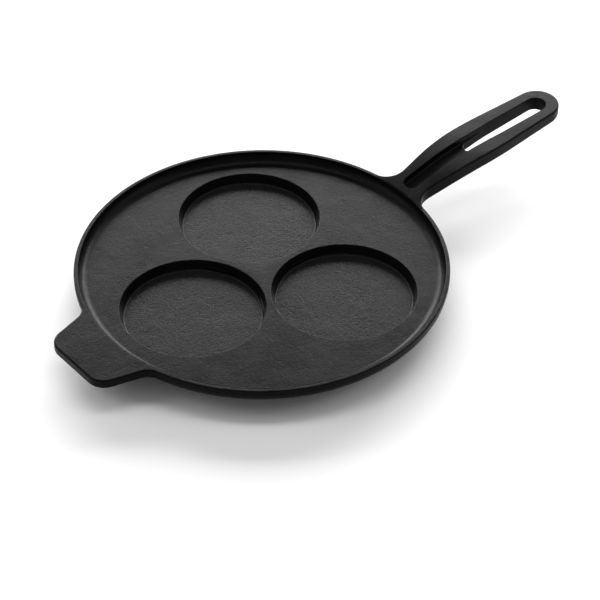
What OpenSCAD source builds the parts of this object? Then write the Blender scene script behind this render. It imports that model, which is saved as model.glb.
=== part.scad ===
/* [Plate] */
// Outside diameter of the plate
pan_d = 260; // [250:1:320]
// Width of the flat top of the rim
rim_w = 3.2; // [2.4:0.1:6]
// Drop from the top of the rim to the cooking floor
tray_depth = 6.8; // [6.6:0.1:12]
// Thickness of the plate and of the well walls
plate_t = 4.5; // [3.5:0.1:7]
// Radius of the hollow curve between floor and rim
tray_fillet = 6; // [2:0.1:6.2]
// Radius of the outer lower edge
outer_round = 8; // [3:0.1:9]
// Radius of the fine edges of rim and well lips
edge_round = 0.8; // [0.4:0.1:1.1]

/* [Wells] */
// Diameter of a well at its lip
well_d = 100.4; // [80:0.2:104]
// Least width of floor between two lips
well_web = 4.3; // [3:0.1:10]
// Drop from the cooking floor to the floor of a well
well_depth = 13.8; // [9:0.1:20]
// Slope of the well wall
well_draft = 1.5; // [0.5:0.1:6]
// Radius at the foot of the well wall
well_fillet = 2.4; // [1:0.1:5]
// Radius of the outer lower edge of a well
boss_round = 6; // [2:0.1:6.5]
// Width of the flare where a well meets the underside of the plate
boss_flare = 2.5; // [1:0.1:4]

/* [Handle outline] */
// Reach of the handle beyond the rim
handle_len = 147.2; // [135:0.1:190]
// Width at the neck
neck_w = 28; // [24:0.1:31]
// Width across the round tip
tip_w = 32.8; // [28:0.1:34]
// Radius of the hollow corners at the root
root_fillet = 14; // [8:0.5:16]
// Angle at which the sides spread after the neck
flare_angle = 8; // [6:0.1:9.5]
// Angle at which the sides close towards the tip
taper_angle = 3.1; // [1.5:0.1:4]
// Radius of the swell between the two
swell_r = 330; // [200:5:380]

/* [Handle profile] */
// Climb of the neck in degrees
ramp_angle = 13.8; // [9:0.1:17]
// Climb of the grip in degrees
grip_angle = 2.6; // [0:0.1:5]
// Distance from the rim to the bend
bend_at = 45; // [36:1:55]
// Half the length of the bend
bend_half = 20; // [10:1:24]
// Thickness at the neck
handle_t = 11.7; // [10.5:0.1:13]
// Thickness at the tip
tip_t = 10.1; // [9:0.1:12]
// Radius of the top edges
top_round = 1.3; // [0.6:0.1:2.5]
// Radius of the bottom edges
under_round = 3.5; // [1:0.1:4]

/* [Groove and slot] */
// Distance from the rim to the groove
groove_at = 2.4; // [2:0.1:12]
// Width of the groove at the neck
groove_w = 12.8; // [9:0.1:14]
// Depth of the groove
groove_depth = 5; // [3:0.1:6.5]
// Radius at the foot of the groove
groove_fillet = 1.5; // [0.5:0.1:2]
// Distance from the rim to the slot
slot_at = 58.7; // [50:0.1:66]
// Width of the slot where it starts
slot_w = 11.4; // [9:0.1:11.8]
// Width of the slot at the tip
slot_tip_w = 15.4; // [15:0.1:17]
// Metal left beyond the slot
tip_wall = 10; // [7:0.1:14]
// Narrowing of the slot towards its foot, on each side
slot_lean = 0.6; // [0:0.1:1]
// Radius of the slot and groove edges
slot_round = 0.6; // [0.3:0.1:1]
// Angle at which the sides of the slot spread after its start
slot_spread = 5; // [2:0.5:7]
// Length of the groove that runs on beside the slot
groove_run = 16; // [8:0.5:24]
// Angle at which the groove widens
groove_spread = 0.4; // [0:0.1:0.8]

/* [Helper tab] */
// Reach of the tab beyond the rim
tab_len = 30.2; // [22:0.1:40]
// Width of the tab at the rim
tab_w = 71.2; // [56:0.1:84]
// Angle at which the tab narrows
tab_angle = 14.7; // [6:0.1:20]
// Radius of the outer corners
tab_corner = 13.5; // [5:0.5:15]
// Radius of the hollow corners at the root
tab_fillet = 14; // [6:0.5:15]
// Thickness of the tab
tab_t = 7.4; // [6:0.1:9]
// Radius of the bottom edge of the tab
tab_round = 2.2; // [1:0.1:3.5]

/* [Hidden] */
$fn = 160;
// Steps along the arcs and the swells, and round the edges of a loft
arc_steps = 8;
swell_steps = 10;
round_steps = 3;
// Bodies that join run this far into each other
overlap = 0.1;
// Round edges end this far past their face, so that they cross it
crossing = 0.03;
// A point nearer than this to the axis lies on it
tiny = 0.000001;
// Cuts run this far past the faces that they open
clear = 2;

pan_r = pan_d / 2;
well_r = well_d / 2;
skirt = tray_depth + plate_t;
pan_h = skirt + well_depth;
floor_z = pan_h - tray_depth;
under_z = pan_h - skirt;
inner_r = pan_r - rim_w;
half_gap = well_r + well_web / 2;
ring_r = half_gap / sin(60);
well_foot_r = well_r - well_depth * tan(well_draft);
boss_r = well_r + plate_t;
// Webs, shells and roots run this far into what they join
bite = 1;
// The webs between the wells start at this share of the height where the wells cross
web_rise = 0.8;

// The handle and the tab are rooted this far inside the rim
root_depth = 12;
root_x = pan_r - root_depth;
tip_r = tip_w / 2;
tip_x = pan_r + handle_len;
tip_mid = tip_x - tip_r;
ramp = tan(ramp_angle);
climb = tan(grip_angle);
// The ramp of the neck starts this far inside the rim's inner edge
ramp_inset = 1.2;
ramp_x = inner_r - ramp_inset;
bend_x = pan_r + bend_at;
under_climb = climb + (handle_t - tip_t) / (tip_x - bend_x);
// The underside of the neck stays this far above the plate's lower edge, and bends over this half length
heel = 1.6;
root_drop = skirt - heel;
root_bend = 10;
under_x = ramp_x + (handle_t - root_drop) / ramp;

groove_r = groove_w / 2;
groove_x = pan_r + groove_at + groove_r;
slot_r = slot_w / 2;
slot_x = pan_r + slot_at + slot_r;
slot_tip_r = slot_tip_w / 2;
slot_tip_x = tip_x - tip_wall - slot_tip_r;
// The sides of the slot close at this angle at the tip, after a swell of this radius
slot_taper = -0.5;
slot_swell = 200;
groove_end_x = slot_x + groove_run;
groove_end_r = groove_r + (groove_end_x - groove_x) * sin(groove_spread);

tab_x = pan_r + tab_len;
// The middle of the whole pan lies this far from the plate's own
mid_x = (tip_x - tab_x) / 2;

// Curved change of slope: 0 before the bend, x after it
function soft(x, half) =
    x <= -half ? 0
    : x >= half ? x
    : pow(x + half, 2) / (4 * half);

// Heights of the top and the underside of the handle
function handle_top(x) =
    pan_h + ramp * (x - ramp_x)
    - (ramp - climb) * soft(x - bend_x, bend_half);
function handle_under(x) =
    pan_h - root_drop + ramp * soft(x - under_x, root_bend)
    - (ramp - under_climb) * soft(x - bend_x, bend_half);

// Height of a surface of the handle or the tab: side 0 is its top, 1 its underside
function height(kind, side, x) =
    kind == "tab" ? pan_h - side * tab_t
    : side == 0 ? handle_top(x)
    : handle_under(x);

// Arc as points with outward normals, hollow when side is -1
function arc(cx, cy, r, from, to, steps, side = 1) = [
    for (i = [0:steps])
        let (a = from + (to - from) * i / steps)
        [cx + r * cos(a), cy + r * sin(a), side * cos(a), side * sin(a)]
];

// Arc that joins a line leaving p at angle up to a line closing at angle down
function swell(p, up, tip_mid, tip_r, down, r, steps) =
    let (
        b1 = cos(up) * p[1] - sin(up) * p[0] - r,
        b2 = sin(down) * tip_mid + tip_r - r,
        s = sin(up + down),
        cx = (b2 * cos(up) - b1 * cos(down)) / s,
        cy = (b2 * sin(up) + b1 * sin(down)) / s
    )
    arc(cx, cy, r, 90 + up, 90 - down, steps);

// Half outlines, from the root outwards
function handle_half() =
    let (
        cy = neck_w / 2 + root_fillet,
        reach = pan_r + root_fillet - overlap,
        cx = sqrt(pow(reach, 2) - pow(cy, 2)),
        neck = arc(cx, cy, root_fillet, 180 + atan2(cy, cx), 270 + flare_angle, arc_steps, -1),
        last = neck[arc_steps]
    )
    concat(
        [[root_x, neck[0][1] - bite, 0, 1]],
        neck,
        swell(last, flare_angle, tip_mid, tip_r, taper_angle, swell_r, swell_steps),
        arc(tip_mid, 0, tip_r, 90 - taper_angle, 0, arc_steps)
    );
function groove_half() = concat(
    arc(groove_x, 0, groove_r, 180, 90 + groove_spread, arc_steps),
    [
        for (i = [1:swell_steps - 1])
            let (
                x = groove_x + (groove_end_x - groove_x) * i / swell_steps,
                r = groove_r + (groove_end_r - groove_r) * i / swell_steps,
                n = [-sin(groove_spread), cos(groove_spread)]
            )
            [x + r * n[0], r * n[1], n[0], n[1]]
    ],
    arc(groove_end_x, 0, groove_end_r, 90 + groove_spread, 0, arc_steps)
);
function slot_half() =
    let (start = arc(slot_x, 0, slot_r, 180, 90 + slot_spread, arc_steps))
    concat(
        start,
        swell(start[arc_steps], slot_spread, slot_tip_x, slot_tip_r, slot_taper, slot_swell, swell_steps),
        arc(slot_tip_x, 0, slot_tip_r, 90 - slot_taper, 0, arc_steps)
    );
function tab_half() =
    let (
        n = [sin(tab_angle), cos(tab_angle)],
        d = [cos(tab_angle), -sin(tab_angle)],
        q = [pan_r, tab_w / 2] + tab_fillet * n,
        reach = pan_r + tab_fillet - overlap,
        s = sqrt(pow(q * d, 2) - q * q + pow(reach, 2)) - q * d,
        c = q + s * d,
        corner_x = tab_x - tab_corner,
        corner_y = tab_w / 2 - (tab_corner + n[0] * (corner_x - pan_r)) / n[1],
        root = arc(c[0], c[1], tab_fillet, 180 + atan2(c[1], c[0]), 270 - tab_angle, arc_steps, -1)
    )
    concat(
        [[root_x, root[0][1] - bite, 0, 1]],
        root,
        arc(corner_x, corner_y, tab_corner, 90 - tab_angle, 0, arc_steps)
    );

// Levels of a loft: how far inwards, which surface, and how far above it
function rounded_top(r) = [
    for (i = [0:round_steps])
        let (a = 90 * i / round_steps)
        [r * (1 - sin(a)), 0, -r * (1 - cos(a))]
];
function rounded_foot(r, side, lift) = [
    for (i = [0:round_steps])
        let (a = 90 * i / round_steps)
        [r * (1 - cos(a)), side, lift + r * (1 - sin(a))]
];
function flared_top(r) = concat(
    [[-r, 0, clear]],
    [
        for (i = [0:round_steps])
            let (a = 90 * i / round_steps)
            [-r * (1 - sin(a)), 0, crossing - r * (1 - cos(a))]
    ]
);
function flared_foot(r, lean) = concat(
    [
        for (i = [0:round_steps])
            let (a = 90 * i / round_steps)
            [lean - r * (1 - cos(a)), 1, r * (1 - sin(a)) - crossing]
    ],
    [[lean - r, 1, -clear]]
);

// Solid skinned over loops of a mirrored half outline
module loft(kind, half, levels) {
    n = len(half);
    starts_on_axis = abs(half[0][1]) < tiny;
    ends_on_axis = abs(half[n - 1][1]) < tiny;
    last = ends_on_axis ? n - 2 : n - 1;
    count = n + last + (starts_on_axis ? 0 : 1);
    loop = [
        for (i = [0:count - 1])
            let (p = half[i < n ? i : n + last - i])
            i < n ? p : [p[0], -p[1], p[2], -p[3]]
    ];
    points = [
        for (lv = levels)
            for (i = [0:count - 1])
                let (
                    p = loop[i],
                    x = p[0] - lv[0] * p[2],
                    on_axis = (ends_on_axis && i == n - 1) || (starts_on_axis && i == 0),
                    y = on_axis ? 0 : p[1] - lv[0] * p[3]
                )
                [x, y, height(kind, lv[1], x) + lv[2]]
    ];
    base = (len(levels) - 1) * count;
    sides = [
        for (k = [0:len(levels) - 2])
            for (i = [0:count - 1])
                let (
                    j = (i + 1) % count,
                    a = k * count,
                    b = (k + 1) * count
                )
                each [[a + j, a + i, b + i], [a + j, b + i, b + j]]
    ];
    caps = [
        for (i = [0:n - 2])
            let (
                j = i + 1,
                mi = (n + last - i) % count,
                mj = (n + last - j) % count
            )
            each (mi == i
                ? [[i, j, mj], [base + mj, base + j, base + i]]
                : mj == j
                ? [[i, j, mi], [base + mi, base + j, base + i]]
                : [[i, j, mj, mi], [base + mi, base + mj, base + j, base + i]])
    ];
    polyhedron(points = points, faces = concat(sides, caps), convexity = 8);
}

// Piece between the corner v and an arc that touches both its edges
module corner_piece(v, u1, u2, r) {
    middle = (u1 + u2) / norm(u1 + u2);
    half = acos(u1 * u2) / 2;
    run = r / tan(half);
    c = v + middle * r / sin(half);
    difference() {
        polygon([v, v + u1 * run, c, v + u2 * run]);
        translate(c)
            circle(r);
    }
}

module plate_blank() {
    rotate_extrude()
        difference() {
            translate([0, under_z])
                square([pan_r, skirt]);
            corner_piece([pan_r, under_z], [-1, 0], [0, 1], outer_round);
            corner_piece([pan_r, pan_h], [-1, 0], [0, -1], edge_round);
        }
}

module tray_cut() {
    rotate_extrude() {
        difference() {
            translate([0, floor_z])
                square([inner_r, tray_depth + clear]);
            corner_piece([inner_r, floor_z], [-1, 0], [0, 1], tray_fillet);
        }
        translate([0, pan_h - edge_round + crossing])
            difference() {
                square([inner_r + edge_round, clear]);
                translate([inner_r + edge_round, 0])
                    circle(edge_round);
            }
    }
}

module at_wells() {
    for (a = [60, 180, 300])
        rotate([0, 0, a])
            translate([ring_r, 0, 0])
                children();
}

// A well's outer shell below the plate, flared where it meets it
module well_boss() {
    top = well_depth + crossing;
    flare_r = boss_r + boss_flare;
    rotate_extrude()
        difference() {
            polygon([
                [0, 0],
                [boss_r, 0],
                [boss_r, top - boss_flare],
                [flare_r, top],
                [flare_r, top + bite],
                [0, top + bite]
            ]);
            corner_piece([boss_r, 0], [-1, 0], [0, 1], boss_round);
        }
}

// Webs that fill the narrow valleys between the wells, and the hub where they meet
module valley_webs() {
    run = sqrt(max(0, pow(boss_r + boss_flare, 2) - pow(half_gap, 2))) + bite;
    side = half_gap - sqrt(pow(boss_r, 2) - pow(run, 2)) + bite;
    gap = min(boss_round, max(0, half_gap - boss_r + boss_round));
    foot = web_rise * (boss_round - sqrt(pow(boss_round, 2) - pow(gap, 2)));
    translate([0, 0, foot])
        linear_extrude(under_z + crossing - foot) {
            circle(ring_r - boss_r + 2 * bite);
            for (a = [0, 120, 240])
                rotate(a)
                    translate([0, -side])
                        square([ring_r / 2 + run, 2 * side]);
        }
}

module well_cut() {
    wall = [-sin(well_draft), -cos(well_draft)];
    lean = tan(well_draft);
    lip = well_depth + crossing;
    top = well_depth + clear;
    translate([0, 0, plate_t])
        rotate_extrude() {
            difference() {
                polygon([[0, 0], [well_foot_r, 0], [well_foot_r + top * lean, top], [0, top]]);
                corner_piece([well_foot_r, 0], [-1, 0], -wall, well_fillet);
            }
            corner_piece([well_foot_r + lip * lean, lip], wall, [1, 0], edge_round);
        }
}

module pan_solid() {
    plate_blank();
    at_wells()
        well_boss();
    valley_webs();
    loft("handle", handle_half(), concat(rounded_top(top_round), rounded_foot(under_round, 1, 0)));
    rotate([0, 0, 180])
        loft("tab", tab_half(), concat(rounded_top(top_round), rounded_foot(tab_round, 1, 0)));
}

module handle_cuts() {
    groove_foot = rounded_foot(groove_fillet, 0, -groove_depth);
    slot_foot = flared_foot(slot_round, slot_lean);
    loft("handle", groove_half(), concat(flared_top(slot_round), groove_foot));
    loft("handle", slot_half(), concat(flared_top(slot_round), slot_foot));
}

module pan() {
    color("#2b2b2c")
        translate([-mid_x, 0, 0])
            difference() {
                pan_solid();
                tray_cut();
                at_wells()
                    well_cut();
                handle_cuts();
            }
}

pan();
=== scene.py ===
import math

import bmesh
import bpy
from mathutils import Matrix, Vector


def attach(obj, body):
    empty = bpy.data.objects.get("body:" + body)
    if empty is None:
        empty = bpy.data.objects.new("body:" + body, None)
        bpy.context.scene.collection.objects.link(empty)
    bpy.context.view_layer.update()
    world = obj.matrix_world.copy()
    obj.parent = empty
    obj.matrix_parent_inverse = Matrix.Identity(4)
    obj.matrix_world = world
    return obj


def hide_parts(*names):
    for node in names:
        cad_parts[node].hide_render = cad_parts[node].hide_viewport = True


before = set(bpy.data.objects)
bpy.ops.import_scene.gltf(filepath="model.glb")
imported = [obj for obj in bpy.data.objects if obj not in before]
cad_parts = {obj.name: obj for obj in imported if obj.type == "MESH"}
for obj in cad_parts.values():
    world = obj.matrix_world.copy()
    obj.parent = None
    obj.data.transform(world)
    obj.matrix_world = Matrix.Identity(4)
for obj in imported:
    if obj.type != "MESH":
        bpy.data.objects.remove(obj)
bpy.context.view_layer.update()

# Sizes of the casting in metres, measured from the middle of the plate and up from the base
PAN_R = 0.130
RIM_W = 0.0032
TRAY_DEPTH = 0.0068
PLATE_T = 0.0045
TRAY_FILLET = 0.0067
OUTER_ROUND = 0.008
EDGE_ROUND = 0.0008

WELL_R = 0.0502
WELL_WEB = 0.0043
# The solid's wells reach this deep, which sets how high the plate stands
WELL_DEPTH = 0.0138
# The photographed wells are this deep, with walls that lean this far
WELL_DROP = 0.0072
WELL_DRAFT = math.radians(20)
WELL_FILLET = 0.0012
BOSS_ROUND = 0.006
BOSS_COVE = 0.003

HANDLE_LEN = 0.1472
NECK_W = 0.028
TIP_W = 0.0328
ROOT_FILLET = 0.014
FLARE = math.radians(8)
TAPER = math.radians(3.1)
SWELL_R = 0.330
RAMP = math.tan(math.radians(13.8))
CLIMB = math.tan(math.radians(2.6))
BEND_AT = 0.045
BEND_HALF = 0.020
HANDLE_T = 0.0117
TIP_T = 0.0101
TOP_ROUND = 0.0013
UNDER_ROUND = 0.0035

GROOVE_AT = 0.0024
GROOVE_W = 0.0128
GROOVE_DEPTH = 0.005
GROOVE_FILLET = 0.0015
GROOVE_RUN = 0.016
GROOVE_SPREAD = math.radians(0.4)
SLOT_AT = 0.0587
SLOT_W = 0.0114
SLOT_TIP_W = 0.0154
SLOT_SPREAD = math.radians(5)
SLOT_TAPER = math.radians(-0.5)
SLOT_SWELL_R = 0.200
SLOT_LEAN = 0.0006
SLOT_ROUND = 0.0006
TIP_WALL = 0.010

TAB_LEN = 0.0302
TAB_W = 0.0712
TAB_ANGLE = math.radians(14.7)
TAB_CORNER = 0.0135
TAB_FILLET = 0.014
TAB_T = 0.0074
TAB_ROUND = 0.0022

# Where the wells lie round the middle, in degrees
WELL_ANGLES = (60, 180, 300)

# What follows from them
SKIRT = TRAY_DEPTH + PLATE_T
PAN_H = SKIRT + WELL_DEPTH
FLOOR_Z = PAN_H - TRAY_DEPTH
UNDER_Z = PAN_H - SKIRT
INNER_R = PAN_R - RIM_W
HALF_GAP = WELL_R + WELL_WEB / 2
RING_R = HALF_GAP / math.sin(math.radians(60))
WELL_FLOOR_Z = FLOOR_Z - WELL_DROP
WELL_FOOT_R = WELL_R - WELL_DROP * math.tan(WELL_DRAFT)
BOSS_R = WELL_R + PLATE_T
ROOT_DEPTH = 0.012
ROOT_X = PAN_R - ROOT_DEPTH
TIP_R = TIP_W / 2
TIP_X = PAN_R + HANDLE_LEN
TIP_MID = TIP_X - TIP_R
RAMP_INSET = 0.0012
RAMP_X = INNER_R - RAMP_INSET
BEND_X = PAN_R + BEND_AT
UNDER_CLIMB = CLIMB + (HANDLE_T - TIP_T) / (TIP_X - BEND_X)
HEEL = 0.0016
ROOT_DROP = SKIRT - HEEL
ROOT_BEND = 0.010
UNDER_X = RAMP_X + (HANDLE_T - ROOT_DROP) / RAMP
GROOVE_R = GROOVE_W / 2
GROOVE_X = PAN_R + GROOVE_AT + GROOVE_R
SLOT_R = SLOT_W / 2
SLOT_X = PAN_R + SLOT_AT + SLOT_R
SLOT_TIP_R = SLOT_TIP_W / 2
SLOT_TIP_X = TIP_X - TIP_WALL - SLOT_TIP_R
GROOVE_END_X = SLOT_X + GROOVE_RUN
GROOVE_END_R = GROOVE_R + (GROOVE_END_X - GROOVE_X) * math.sin(GROOVE_SPREAD)
TAB_X = PAN_R + TAB_LEN
MID_X = (TIP_X - TAB_X) / 2

# How finely the curves are cut
TURN_STEPS = 288
WELL_STEPS = 168
ARC_STEPS = 20
SWELL_STEPS = 36
BOSS_STEPS = 12
FILLET_STEPS = 10
COVE_STEPS = 8
EDGE_STEPS = 6
ROUND_STEPS = 5
OVERLAP = 0.0001
BITE = 0.001
WEB_RISE = 0.8
CROSSING = 0.00003
CLEAR = 0.002
TINY = 1e-7
MERGE = 1e-6
CREASE = math.radians(32)
FLAT_WEIGHT = 80


def soft(x, half):
    """Curved change of slope: 0 before the bend, x after it."""
    if x <= -half:
        return 0
    if x >= half:
        return x
    return (x + half) ** 2 / (4 * half)


def handle_top(x):
    return PAN_H + RAMP * (x - RAMP_X) - (RAMP - CLIMB) * soft(x - BEND_X, BEND_HALF)


def handle_under(x):
    root = PAN_H - ROOT_DROP + RAMP * soft(x - UNDER_X, ROOT_BEND)
    return root - (RAMP - UNDER_CLIMB) * soft(x - BEND_X, BEND_HALF)


def tab_top(x):
    return PAN_H


def tab_under(x):
    return PAN_H - TAB_T


def arc(cx, cy, r, start, end, steps=ARC_STEPS, side=1):
    """Points x, y and outward normal x, y along an arc, hollow when side is -1. Angles in radians."""
    made = []
    for i in range(steps + 1):
        a = start + (end - start) * i / steps
        c, s = math.cos(a), math.sin(a)
        made.append((cx + r * c, cy + r * s, side * c, side * s))
    return made


def swell(p, up, tip_mid, tip_r, down, r):
    """Arc from the line that leaves p at angle up to the line that meets the tip's circle at angle down."""
    b1 = math.cos(up) * p[1] - math.sin(up) * p[0] - r
    b2 = math.sin(down) * tip_mid + tip_r - r
    s = math.sin(up + down)
    cx = (b2 * math.cos(up) - b1 * math.cos(down)) / s
    cy = (b2 * math.sin(up) + b1 * math.sin(down)) / s
    return arc(cx, cy, r, math.pi / 2 + up, math.pi / 2 - down, SWELL_STEPS)


def handle_half():
    cy = NECK_W / 2 + ROOT_FILLET
    cx = math.sqrt((PAN_R + ROOT_FILLET - OVERLAP) ** 2 - cy ** 2)
    start = math.pi + math.atan2(cy, cx)
    neck = arc(cx, cy, ROOT_FILLET, start, 1.5 * math.pi + FLARE, side=-1)
    root = [(ROOT_X, neck[0][1] - BITE, 0, 1)]
    sides = swell(neck[-1], FLARE, TIP_MID, TIP_R, TAPER, SWELL_R)
    return root + neck + sides + arc(TIP_MID, 0, TIP_R, math.pi / 2 - TAPER, 0)


def groove_half():
    nx, ny = -math.sin(GROOVE_SPREAD), math.cos(GROOVE_SPREAD)
    side = []
    for i in range(1, SWELL_STEPS):
        x = GROOVE_X + (GROOVE_END_X - GROOVE_X) * i / SWELL_STEPS
        r = GROOVE_R + (GROOVE_END_R - GROOVE_R) * i / SWELL_STEPS
        side.append((x + r * nx, r * ny, nx, ny))
    lean = math.pi / 2 + GROOVE_SPREAD
    return arc(GROOVE_X, 0, GROOVE_R, math.pi, lean) + side + arc(GROOVE_END_X, 0, GROOVE_END_R, lean, 0)


def slot_half():
    start = arc(SLOT_X, 0, SLOT_R, math.pi, math.pi / 2 + SLOT_SPREAD)
    sides = swell(start[-1], SLOT_SPREAD, SLOT_TIP_X, SLOT_TIP_R, SLOT_TAPER, SLOT_SWELL_R)
    return start + sides + arc(SLOT_TIP_X, 0, SLOT_TIP_R, math.pi / 2 - SLOT_TAPER, 0)


def tab_half():
    n = Vector((math.sin(TAB_ANGLE), math.cos(TAB_ANGLE)))
    d = Vector((math.cos(TAB_ANGLE), -math.sin(TAB_ANGLE)))
    q = Vector((PAN_R, TAB_W / 2)) + TAB_FILLET * n
    reach = PAN_R + TAB_FILLET - OVERLAP
    c = q + d * (math.sqrt(q.dot(d) ** 2 - q.dot(q) + reach ** 2) - q.dot(d))
    start = math.pi + math.atan2(c.y, c.x)
    root = arc(c.x, c.y, TAB_FILLET, start, 1.5 * math.pi - TAB_ANGLE, side=-1)
    corner_x = TAB_X - TAB_CORNER
    corner_y = TAB_W / 2 - (TAB_CORNER + n.x * (corner_x - PAN_R)) / n.y
    corner = arc(corner_x, corner_y, TAB_CORNER, math.pi / 2 - TAB_ANGLE, 0)
    return [(ROOT_X, root[0][1] - BITE, 0, 1)] + root + corner


# Levels of a loft: how far inwards, which surface, and how far above it
def rounded_top(r):
    turns = [math.pi / 2 * i / ROUND_STEPS for i in range(ROUND_STEPS + 1)]
    return [(r * (1 - math.sin(a)), 0, -r * (1 - math.cos(a))) for a in turns]


def rounded_foot(r, side, lift):
    turns = [math.pi / 2 * i / ROUND_STEPS for i in range(ROUND_STEPS + 1)]
    return [(r * (1 - math.cos(a)), side, lift + r * (1 - math.sin(a))) for a in turns]


def flared_top(r):
    turns = [math.pi / 2 * i / ROUND_STEPS for i in range(ROUND_STEPS + 1)]
    return [(-r, 0, CLEAR)] + [(-r * (1 - math.sin(a)), 0, CROSSING - r * (1 - math.cos(a))) for a in turns]


def flared_foot(r, lean):
    turns = [math.pi / 2 * i / ROUND_STEPS for i in range(ROUND_STEPS + 1)]
    foot = [(lean - r * (1 - math.cos(a)), 1, r * (1 - math.sin(a)) - CROSSING) for a in turns]
    return foot + [(lean - r, 1, -CLEAR)]


def as_object(bm, name):
    """Turns a bmesh into a linked object with its faces pointing outwards."""
    bmesh.ops.recalc_face_normals(bm, faces=bm.faces)
    mesh = bpy.data.meshes.new(name)
    bm.to_mesh(mesh)
    bm.free()
    made = bpy.data.objects.new(name, mesh)
    bpy.context.scene.collection.objects.link(made)
    return made


def loft(name, half, levels, surfaces):
    """Solid skinned over loops of a mirrored half outline, one loop for each level."""
    closes = abs(half[-1][1]) < TINY
    opens = abs(half[0][1]) < TINY
    back = half[1 if opens else 0:len(half) - 1 if closes else len(half)]
    loop = half + [(x, -y, nx, -ny) for x, y, nx, ny in reversed(back)]
    bm = bmesh.new()
    rank = bm.verts.layers.int.new("rank")
    verts = [bm.verts.new((p[0], p[1], 0)) for p in loop]
    for i, v in enumerate(verts):
        v[rank] = i
    edges = [bm.edges.new((a, b)) for a, b in zip(verts, verts[1:] + verts[:1])]
    rings = []
    for k, (inset, side, lift) in enumerate(levels):
        if k:
            grown = bmesh.ops.extrude_edge_only(bm, edges=edges)["geom"]
            verts = [g for g in grown if isinstance(g, bmesh.types.BMVert)]
            edges = [g for g in grown if isinstance(g, bmesh.types.BMEdge)]
        for v in verts:
            x, y, nx, ny = loop[v[rank]]
            on_axis = abs(y) < TINY
            x -= inset * nx
            v.co = (x, 0 if on_axis else y - inset * ny, surfaces[side](x) + lift)
        rings.append({v[rank]: v for v in verts})
    count = len(loop)
    last = len(half) - 1
    for ring in (rings[0], rings[-1]):
        for i in range(last):
            mirrored = [mirror_rank(j, len(half), count, opens, closes) for j in (i + 1, i)]
            corners = [i, i + 1] + mirrored
            kept = [ring[c] for n, c in enumerate(corners) if c not in corners[:n]]
            bm.faces.new(kept)
    return as_object(bm, name)


def mirror_rank(i, half, count, opens, closes):
    """Place in the loop of the point that mirrors point i of the half outline."""
    if (i == 0 and opens) or (i == half - 1 and closes):
        return i
    return (count - i) if opens else (count - 1 - i)


def spun(name, profile, steps):
    """Solid of revolution about Z from a profile of radius and height that starts and ends on the axis."""
    bm = bmesh.new()
    verts = [bm.verts.new((r, 0, z)) for r, z in profile]
    edges = [bm.edges.new(pair) for pair in zip(verts, verts[1:])]
    bmesh.ops.spin(
        bm, geom=verts + edges, cent=(0, 0, 0), axis=(0, 0, 1), dvec=(0, 0, 0),
        angle=math.tau, steps=steps, use_merge=True, use_duplicate=False,
    )
    bmesh.ops.remove_doubles(bm, verts=bm.verts, dist=MERGE)
    return as_object(bm, name)


def flat_arc(cx, cz, r, start, end, steps=ARC_STEPS):
    return [(x, z) for x, z, nx, nz in arc(cx, cz, r, math.radians(start), math.radians(end), steps)]


def plate_solid():
    e = EDGE_ROUND
    profile = [(0, UNDER_Z)]
    profile += flat_arc(PAN_R - OUTER_ROUND, UNDER_Z + OUTER_ROUND, OUTER_ROUND, -90, 0)
    profile += flat_arc(PAN_R - e, PAN_H - e, e, 0, 90, EDGE_STEPS)
    profile += [(0, PAN_H)]
    return spun("plate", profile, TURN_STEPS)


def tray_cutter():
    e = EDGE_ROUND
    f = TRAY_FILLET
    profile = [(0, FLOOR_Z)]
    profile += flat_arc(INNER_R - f, FLOOR_Z + f, f, -90, 0)
    profile += flat_arc(INNER_R + e, PAN_H - e + CROSSING, e, 180, 90, EDGE_STEPS)
    profile += [(INNER_R + e, PAN_H + CLEAR), (0, PAN_H + CLEAR)]
    return spun("tray", profile, TURN_STEPS)


def well_boss():
    top = UNDER_Z + CROSSING
    profile = [(0, 0)]
    profile += flat_arc(BOSS_R - BOSS_ROUND, BOSS_ROUND, BOSS_ROUND, -90, 0, BOSS_STEPS)
    profile += flat_arc(BOSS_R + BOSS_COVE, top - BOSS_COVE, BOSS_COVE, 180, 90, COVE_STEPS)
    profile += [(BOSS_R + BOSS_COVE, top + BITE), (0, top + BITE)]
    return spun("boss", profile, WELL_STEPS)


def valley_webs():
    """Three-armed block that fills the narrow valleys between the wells and the middle where they meet."""
    run = math.sqrt((BOSS_R + BOSS_COVE) ** 2 - HALF_GAP ** 2) + BITE
    side = HALF_GAP - math.sqrt(BOSS_R ** 2 - run ** 2) + BITE
    reach = RING_R / 2 + run
    hub_r = RING_R - BOSS_R + 2 * BITE
    gap = HALF_GAP - BOSS_R + BOSS_ROUND
    foot = WEB_RISE * (BOSS_ROUND - math.sqrt(BOSS_ROUND ** 2 - gap ** 2))
    bm = bmesh.new()
    corner = math.asin(side / hub_r)
    outline = []
    for arm in range(len(WELL_ANGLES)):
        turn = Matrix.Rotation(math.tau * arm / len(WELL_ANGLES), 2)
        outline += [turn @ Vector((reach, -side)), turn @ Vector((reach, side))]
        bend = arc(0, 0, hub_r, corner, math.tau / len(WELL_ANGLES) - corner, COVE_STEPS)
        outline += [turn @ Vector((p[0], p[1])) for p in bend]
    face = bm.faces.new([bm.verts.new((x, y, foot)) for x, y in outline])
    grown = bmesh.ops.extrude_face_region(bm, geom=[face])["geom"]
    lifted = [g for g in grown if isinstance(g, bmesh.types.BMVert)]
    bmesh.ops.translate(bm, verts=lifted, vec=(0, 0, UNDER_Z + CROSSING - foot))
    return as_object(bm, "webs")


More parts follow.
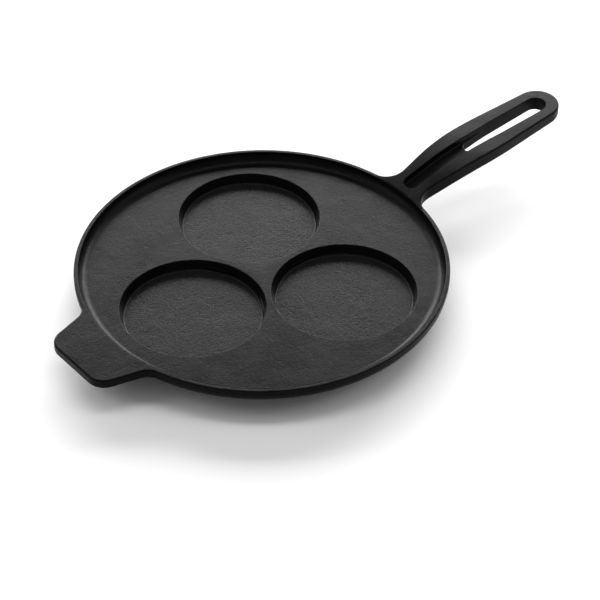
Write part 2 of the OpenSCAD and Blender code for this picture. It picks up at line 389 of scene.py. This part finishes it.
def well_cutter():
    draft = math.degrees(WELL_DRAFT)
    lean = math.tan(WELL_DRAFT)
    f = WELL_FILLET
    run = f * math.tan(math.radians((90 - draft) / 2))
    e = EDGE_ROUND
    lip_z = FLOOR_Z + CROSSING
    lip_r = WELL_FOOT_R + (WELL_DROP + CROSSING) * lean
    lip_run = e * math.tan(math.radians((90 - draft) / 2))
    profile = [(0, WELL_FLOOR_Z)]
    profile += flat_arc(WELL_FOOT_R - run, WELL_FLOOR_Z + f, f, -90, -draft, FILLET_STEPS)
    profile += flat_arc(lip_r + lip_run, lip_z - e, e, 180 - draft, 90, EDGE_STEPS)
    profile += [(lip_r + lip_run, PAN_H + CLEAR), (0, PAN_H + CLEAR)]
    return spun("well", profile, WELL_STEPS)


def at_well(tool, angle):
    """Copy of a solid at one of the three wells."""
    made = tool.copy()
    made.data = tool.data.copy()
    bpy.context.scene.collection.objects.link(made)
    turn = Matrix.Rotation(math.radians(angle), 4, "Z")
    made.data.transform(turn @ Matrix.Translation((RING_R, 0, 0)))
    return made


def combine(body, tool, operation):
    """Joins or cuts with an exact boolean, applies it, and removes the tool."""
    step = body.modifiers.new("step", "BOOLEAN")
    step.operation = operation
    step.solver = "EXACT"
    step.object = tool
    graph = bpy.context.evaluated_depsgraph_get()
    mesh = bpy.data.meshes.new_from_object(body.evaluated_get(graph))
    body.modifiers.clear()
    body.data = mesh
    bpy.data.objects.remove(tool)


def pan_mesh():
    body = plate_solid()
    boss = well_boss()
    well = well_cutter()
    for angle in WELL_ANGLES:
        combine(body, at_well(boss, angle), "UNION")
    top_edge = rounded_top(TOP_ROUND)
    handle_faces = (handle_top, handle_under)
    handle_edges = top_edge + rounded_foot(UNDER_ROUND, 1, 0)
    combine(body, loft("handle", handle_half(), handle_edges, handle_faces), "UNION")
    tab_edges = top_edge + rounded_foot(TAB_ROUND, 1, 0)
    tab = loft("tab", tab_half(), tab_edges, (tab_top, tab_under))
    tab.data.transform(Matrix.Rotation(math.pi, 4, "Z"))
    combine(body, tab, "UNION")
    combine(body, tray_cutter(), "DIFFERENCE")
    for angle in WELL_ANGLES:
        combine(body, at_well(well, angle), "DIFFERENCE")
    combine(body, valley_webs(), "UNION")
    groove = flared_top(SLOT_ROUND) + rounded_foot(GROOVE_FILLET, 0, -GROOVE_DEPTH)
    combine(body, loft("groove", groove_half(), groove, handle_faces), "DIFFERENCE")
    slot = flared_top(SLOT_ROUND) + flared_foot(SLOT_ROUND, SLOT_LEAN)
    combine(body, loft("slot", slot_half(), slot, handle_faces), "DIFFERENCE")
    bpy.data.objects.remove(boss)
    bpy.data.objects.remove(well)
    body.data.transform(Matrix.Translation((-MID_X, 0, 0)))
    return body


pan = pan_mesh()
pan.name = "uttapam_pan"
for face in pan.data.polygons:
    face.use_smooth = True
pan.data.set_sharp_from_angle(angle=CREASE)
weigh = pan.modifiers.new("weigh", "WEIGHTED_NORMAL")
weigh.keep_sharp = True
weigh.weight = FLAT_WEIGHT
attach(pan, "root")
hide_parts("pan")


# Grain of the sand mould, its pits and the slow waves of the skin
GRAIN_PER_M = 700.0
GRAIN_DETAIL = 3.0
GRAIN_HARSH = 0.6
GRAIN_DEPTH = 0.0003
WELL_GRAIN = 0.6
PLATE_GRAIN = 0.38
FINE_RATIO = 3.1
FINE_DETAIL = 1.0
FINE_SHARE = 0.35
PIT_RATIO = 0.3
PIT_CORE = 0.05
PIT_EDGE = 0.3
PIT_DEPTH = 0.12
WAVES_PER_M = 42.0
WAVE_DETAIL = 4.0
WAVE_HARSH = 0.55
WAVE_HEIGHT = 1.2
WAVE_LOW = 0.3
WAVE_HIGH = 0.7

# Tones and shine of the seasoned iron
IRON_DARK = (0.0018, 0.0018, 0.0018)
IRON_LIGHT = (0.0038, 0.0038, 0.0038)
# Paler colour painted along the rounded edges as a highlight
IRON_EDGE_HIGHLIGHT = (0.009, 0.009, 0.009)
IRON_RAW = (0.006, 0.006, 0.006)
IRON_SPECULAR = 0.06
TONE_END = 0.72
SPECKLE_FROM = 0.45
SPECKLE_TO = 0.9
SPECKLE_DARK = 0.6
SPECKLE_LIGHT = 1.3
ROUGH_LOW = 0.27
ROUGH_HIGH = 0.37
WELL_SMOOTHER = 0.03
EDGE_SMOOTHER = 0.06
PIT_ROUGHER = 0.08
RAW_FROM = 0.0012
RAW_FULL = 0.0003
# Share of the painted edge highlight in the colour
EDGE_HIGHLIGHT_SHARE = 0.5
EDGE_WIDTH = 0.0009
EDGE_SAMPLES = 6
EDGE_FLAT = 0.995
EDGE_SHARP = 0.93


def node(tree, kind, **values):
    made = tree.nodes.new(kind)
    for key, value in values.items():
        setattr(made, key, value)
    return made


def link(tree, source, target):
    tree.links.new(source, target)


def add_math(tree, operation, first, second):
    """Math node on two values, each a socket or a number."""
    made = node(tree, "ShaderNodeMath", operation=operation)
    for socket, value in zip(made.inputs, (first, second)):
        if isinstance(value, (int, float)):
            socket.default_value = value
        else:
            link(tree, value, socket)
    return made.outputs["Value"]


def spread(tree, value, low, high, to_low=0.0, to_high=1.0):
    """Map Range node that takes low..high to to_low..to_high and clamps."""
    made = node(tree, "ShaderNodeMapRange", clamp=True)
    made.inputs["From Min"].default_value = low
    made.inputs["From Max"].default_value = high
    made.inputs["To Min"].default_value = to_low
    made.inputs["To Max"].default_value = to_high
    link(tree, value, made.inputs["Value"])
    return made.outputs["Result"]


def new_group(name, ins, outs):
    tree = bpy.data.node_groups.new(name, "ShaderNodeTree")
    for label, kind, value in ins:
        socket = tree.interface.new_socket(label, in_out="INPUT", socket_type=kind)
        if value is not None:
            socket.default_value = value
    for label, kind in outs:
        tree.interface.new_socket(label, in_out="OUTPUT", socket_type=kind)
    start = node(tree, "NodeGroupInput")
    end = node(tree, "NodeGroupOutput")
    return tree, start.outputs, end.inputs


def sand_grain_group():
    """Skin of a sand casting: packed sand grains, pits and slow waves, as heights and a tone."""
    tree, ins, outs = new_group(
        "sand_grain",
        [("Vector", "NodeSocketVector", None), ("Grain", "NodeSocketFloat", GRAIN_PER_M)],
        [("Height", "NodeSocketFloat"), ("Pits", "NodeSocketFloat"), ("Waves", "NodeSocketFloat")],
    )
    grain = node(tree, "ShaderNodeTexNoise")
    grain.inputs["Detail"].default_value = GRAIN_DETAIL
    grain.inputs["Roughness"].default_value = GRAIN_HARSH
    link(tree, ins["Vector"], grain.inputs["Vector"])
    link(tree, ins["Grain"], grain.inputs["Scale"])
    fine = node(tree, "ShaderNodeTexNoise")
    fine.inputs["Detail"].default_value = FINE_DETAIL
    link(tree, ins["Vector"], fine.inputs["Vector"])
    link(tree, add_math(tree, "MULTIPLY", ins["Grain"], FINE_RATIO), fine.inputs["Scale"])
    both = add_math(tree, "MULTIPLY", fine.outputs["Fac"], FINE_SHARE)
    link(tree, add_math(tree, "ADD", grain.outputs["Fac"], both), outs["Height"])
    pits = node(tree, "ShaderNodeTexVoronoi", feature="F1")
    link(tree, ins["Vector"], pits.inputs["Vector"])
    link(tree, add_math(tree, "MULTIPLY", ins["Grain"], PIT_RATIO), pits.inputs["Scale"])
    link(tree, spread(tree, pits.outputs["Distance"], PIT_CORE, PIT_EDGE, 1.0, 0.0), outs["Pits"])
    waves = node(tree, "ShaderNodeTexNoise")
    waves.inputs["Scale"].default_value = WAVES_PER_M
    waves.inputs["Detail"].default_value = WAVE_DETAIL
    waves.inputs["Roughness"].default_value = WAVE_HARSH
    link(tree, ins["Vector"], waves.inputs["Vector"])
    link(tree, waves.outputs["Fac"], outs["Waves"])
    return tree


def edge_highlight_group():
    """Mask of the rounded edges, for a painted highlight and smoother roughness there."""
    tree, ins, outs = new_group(
        "edge_highlight_mask",
        [("Width", "NodeSocketFloat", EDGE_WIDTH)],
        [("Mask", "NodeSocketFloat")],
    )
    soft_normal = node(tree, "ShaderNodeBevel", samples=EDGE_SAMPLES)
    link(tree, ins["Width"], soft_normal.inputs["Radius"])
    geometry = node(tree, "ShaderNodeNewGeometry")
    dot = node(tree, "ShaderNodeVectorMath", operation="DOT_PRODUCT")
    link(tree, soft_normal.outputs["Normal"], dot.inputs[0])
    link(tree, geometry.outputs["Normal"], dot.inputs[1])
    link(tree, spread(tree, dot.outputs["Value"], EDGE_FLAT, EDGE_SHARP), outs["Mask"])
    return tree


def seasoned_iron(name, grain_group, edge_group):
    """Black oil-seasoned cast iron: coarser and paler on the floors of the wells, finer on the plate."""
    mat = bpy.data.materials.new(name)
    mat.use_nodes = True
    tree = mat.node_tree
    shader = tree.nodes["Principled BSDF"]
    coords = node(tree, "ShaderNodeTexCoord").outputs["Object"]
    grain = node(tree, "ShaderNodeGroup", node_tree=grain_group)
    grain.inputs["Grain"].default_value = GRAIN_PER_M
    link(tree, coords, grain.inputs["Vector"])
    edges = node(tree, "ShaderNodeGroup", node_tree=edge_group)
    edges.inputs["Width"].default_value = EDGE_WIDTH
    place = node(tree, "ShaderNodeSeparateXYZ")
    link(tree, coords, place.inputs["Vector"])
    low = spread(tree, place.outputs["Z"], WELL_FLOOR_Z + RAW_FROM, WELL_FLOOR_Z + RAW_FULL)

    tone = node(tree, "ShaderNodeValToRGB")
    tone.color_ramp.elements[0].position = WAVE_LOW
    tone.color_ramp.elements[0].color = (*IRON_DARK, 1)
    tone.color_ramp.elements[1].position = TONE_END
    tone.color_ramp.elements[1].color = (*IRON_LIGHT, 1)
    link(tree, grain.outputs["Waves"], tone.inputs["Fac"])
    speckle = node(tree, "ShaderNodeMix", data_type="RGBA", blend_type="MULTIPLY")
    speckle.inputs["Factor"].default_value = 1.0
    height = grain.outputs["Height"]
    shade = spread(tree, height, SPECKLE_FROM, SPECKLE_TO, SPECKLE_DARK, SPECKLE_LIGHT)
    grey = node(tree, "ShaderNodeCombineColor")
    for channel in ("Red", "Green", "Blue"):
        link(tree, shade, grey.inputs[channel])
    link(tree, tone.outputs["Color"], speckle.inputs["A"])
    link(tree, grey.outputs["Color"], speckle.inputs["B"])
    raw = node(tree, "ShaderNodeMix", data_type="RGBA", blend_type="ADD")
    raw.inputs["B"].default_value = (*IRON_RAW, 1)
    link(tree, speckle.outputs["Result"], raw.inputs["A"])
    link(tree, add_math(tree, "MULTIPLY", low, shade), raw.inputs["Factor"])
    # Painted highlight: a paler colour mixed in along the rounded edges
    edge_highlight_mix = node(tree, "ShaderNodeMix", data_type="RGBA")
    edge_highlight_mix.inputs["B"].default_value = (*IRON_EDGE_HIGHLIGHT, 1)
    link(tree, raw.outputs["Result"], edge_highlight_mix.inputs["A"])
    link(tree, add_math(tree, "MULTIPLY", edges.outputs["Mask"], EDGE_HIGHLIGHT_SHARE), edge_highlight_mix.inputs["Factor"])
    link(tree, edge_highlight_mix.outputs["Result"], shader.inputs["Base Color"])

    rough = spread(tree, grain.outputs["Waves"], WAVE_LOW, WAVE_HIGH, ROUGH_LOW, ROUGH_HIGH)
    rough = add_math(tree, "ADD", rough, add_math(tree, "MULTIPLY", low, -WELL_SMOOTHER))
    rubbed = add_math(tree, "MULTIPLY", edges.outputs["Mask"], EDGE_SMOOTHER)
    rough = add_math(tree, "SUBTRACT", rough, rubbed)
    rough = add_math(tree, "ADD", rough, add_math(tree, "MULTIPLY", grain.outputs["Pits"], PIT_ROUGHER))
    link(tree, rough, shader.inputs["Roughness"])

    strength = add_math(tree, "ADD", add_math(tree, "MULTIPLY", low, WELL_GRAIN - PLATE_GRAIN), PLATE_GRAIN)
    grained = add_math(tree, "MULTIPLY", height, strength)
    pitted = add_math(tree, "MULTIPLY", grain.outputs["Pits"], -PIT_DEPTH)
    rolling = add_math(tree, "MULTIPLY", grain.outputs["Waves"], WAVE_HEIGHT)
    total = add_math(tree, "ADD", add_math(tree, "ADD", grained, pitted), rolling)
    bump = node(tree, "ShaderNodeBump")
    bump.inputs["Strength"].default_value = 1.0
    bump.inputs["Distance"].default_value = GRAIN_DEPTH
    link(tree, total, bump.inputs["Height"])
    link(tree, bump.outputs["Normal"], shader.inputs["Normal"])
    shader.inputs["Specular IOR Level"].default_value = IRON_SPECULAR
    return mat


pan.data.materials.clear()
pan.data.materials.append(seasoned_iron("seasoned_iron", sand_grain_group(), edge_highlight_group()))


# Camera of the photograph
CAMERA_AZIMUTH = math.radians(320.344)
CAMERA_ELEVATION = math.radians(40.807)
CAMERA_ROLL = math.radians(0.236)
CAMERA_DISTANCE = 1.6160
CAMERA_TARGET = Vector((-0.06281, -0.04646, 0.0251))
CAMERA_LENS = 142.82
SENSOR_WIDTH = 36
CAMERA_REACH = 20

# Softboxes by name: turn from the camera and elevation in degrees, distance, width, height, radiance
SOFTBOXES = {
    "rear_softbox": (180, 22.5, 3.0, 4.2, 1.45, 11.6),
    "top_strip": (180, 82, 2.4, 2.6, 0.5, 3.8),
    "left_softbox": (-90, 38, 2.6, 1.5, 1.2, 1.8),
    "right_softbox": (90, 38, 2.6, 1.5, 1.2, 1.8),
}

FLOOR_HALF = 6
FLOOR_WHITE = (0.95, 0.95, 0.95, 1)
FLOOR_ROUGH = 0.9
FLOOR_SPECULAR = 0.1
ROOM_WHITE = (0.9, 0.9, 0.9, 1)
ROOM_STRENGTH = 0.34


def from_view(azimuth, elevation):
    """Direction from the target towards a camera at that azimuth and elevation."""
    level = math.cos(elevation)
    return Vector((math.sin(azimuth) * level, -math.cos(azimuth) * level, math.sin(elevation)))


def photo_camera():
    data = bpy.data.cameras.new("camera")
    data.lens = CAMERA_LENS
    data.sensor_width = SENSOR_WIDTH
    data.clip_end = CAMERA_REACH
    camera = bpy.data.objects.new("camera", data)
    bpy.context.scene.collection.objects.link(camera)
    back = from_view(CAMERA_AZIMUTH, CAMERA_ELEVATION)
    camera.location = CAMERA_TARGET + back * CAMERA_DISTANCE
    level = (-back).to_track_quat("-Z", "Y").to_matrix().to_4x4()
    camera.rotation_euler = (level @ Matrix.Rotation(CAMERA_ROLL, 4, "Z")).to_euler()
    bpy.context.scene.camera = camera


def softbox(name, place, width, height, radiance):
    """Rectangular lamp aimed at the pan. Its energy follows from its size and the radiance of its face."""
    data = bpy.data.lights.new(name, "AREA")
    data.shape = "RECTANGLE"
    data.size = width
    data.size_y = height
    data.energy = radiance * width * height * math.pi
    lamp = bpy.data.objects.new(name, data)
    bpy.context.scene.collection.objects.link(lamp)
    lamp.location = place
    lamp.rotation_mode = "QUATERNION"
    lamp.rotation_quaternion = (-place).to_track_quat("-Z", "Y")


def white_floor():
    bm = bmesh.new()
    bmesh.ops.create_grid(bm, x_segments=1, y_segments=1, size=FLOOR_HALF)
    floor = as_object(bm, "floor")
    mat = bpy.data.materials.new("white_floor")
    mat.use_nodes = True
    shader = mat.node_tree.nodes["Principled BSDF"]
    shader.inputs["Base Color"].default_value = FLOOR_WHITE
    shader.inputs["Roughness"].default_value = FLOOR_ROUGH
    shader.inputs["Specular IOR Level"].default_value = FLOOR_SPECULAR
    floor.data.materials.append(mat)


def pale_room():
    room = bpy.data.worlds.new("studio")
    room.use_nodes = True
    bpy.context.scene.world = room
    background = room.node_tree.nodes["Background"]
    background.inputs["Color"].default_value = ROOM_WHITE
    background.inputs["Strength"].default_value = ROOM_STRENGTH


photo_camera()
for name, (turn, elevation, distance, width, height, radiance) in SOFTBOXES.items():
    towards = from_view(CAMERA_AZIMUTH + math.radians(turn), math.radians(elevation))
    softbox(name, towards * distance, width, height, radiance)
white_floor()
pale_room()

bpy.context.scene.view_settings.view_transform = "Standard"
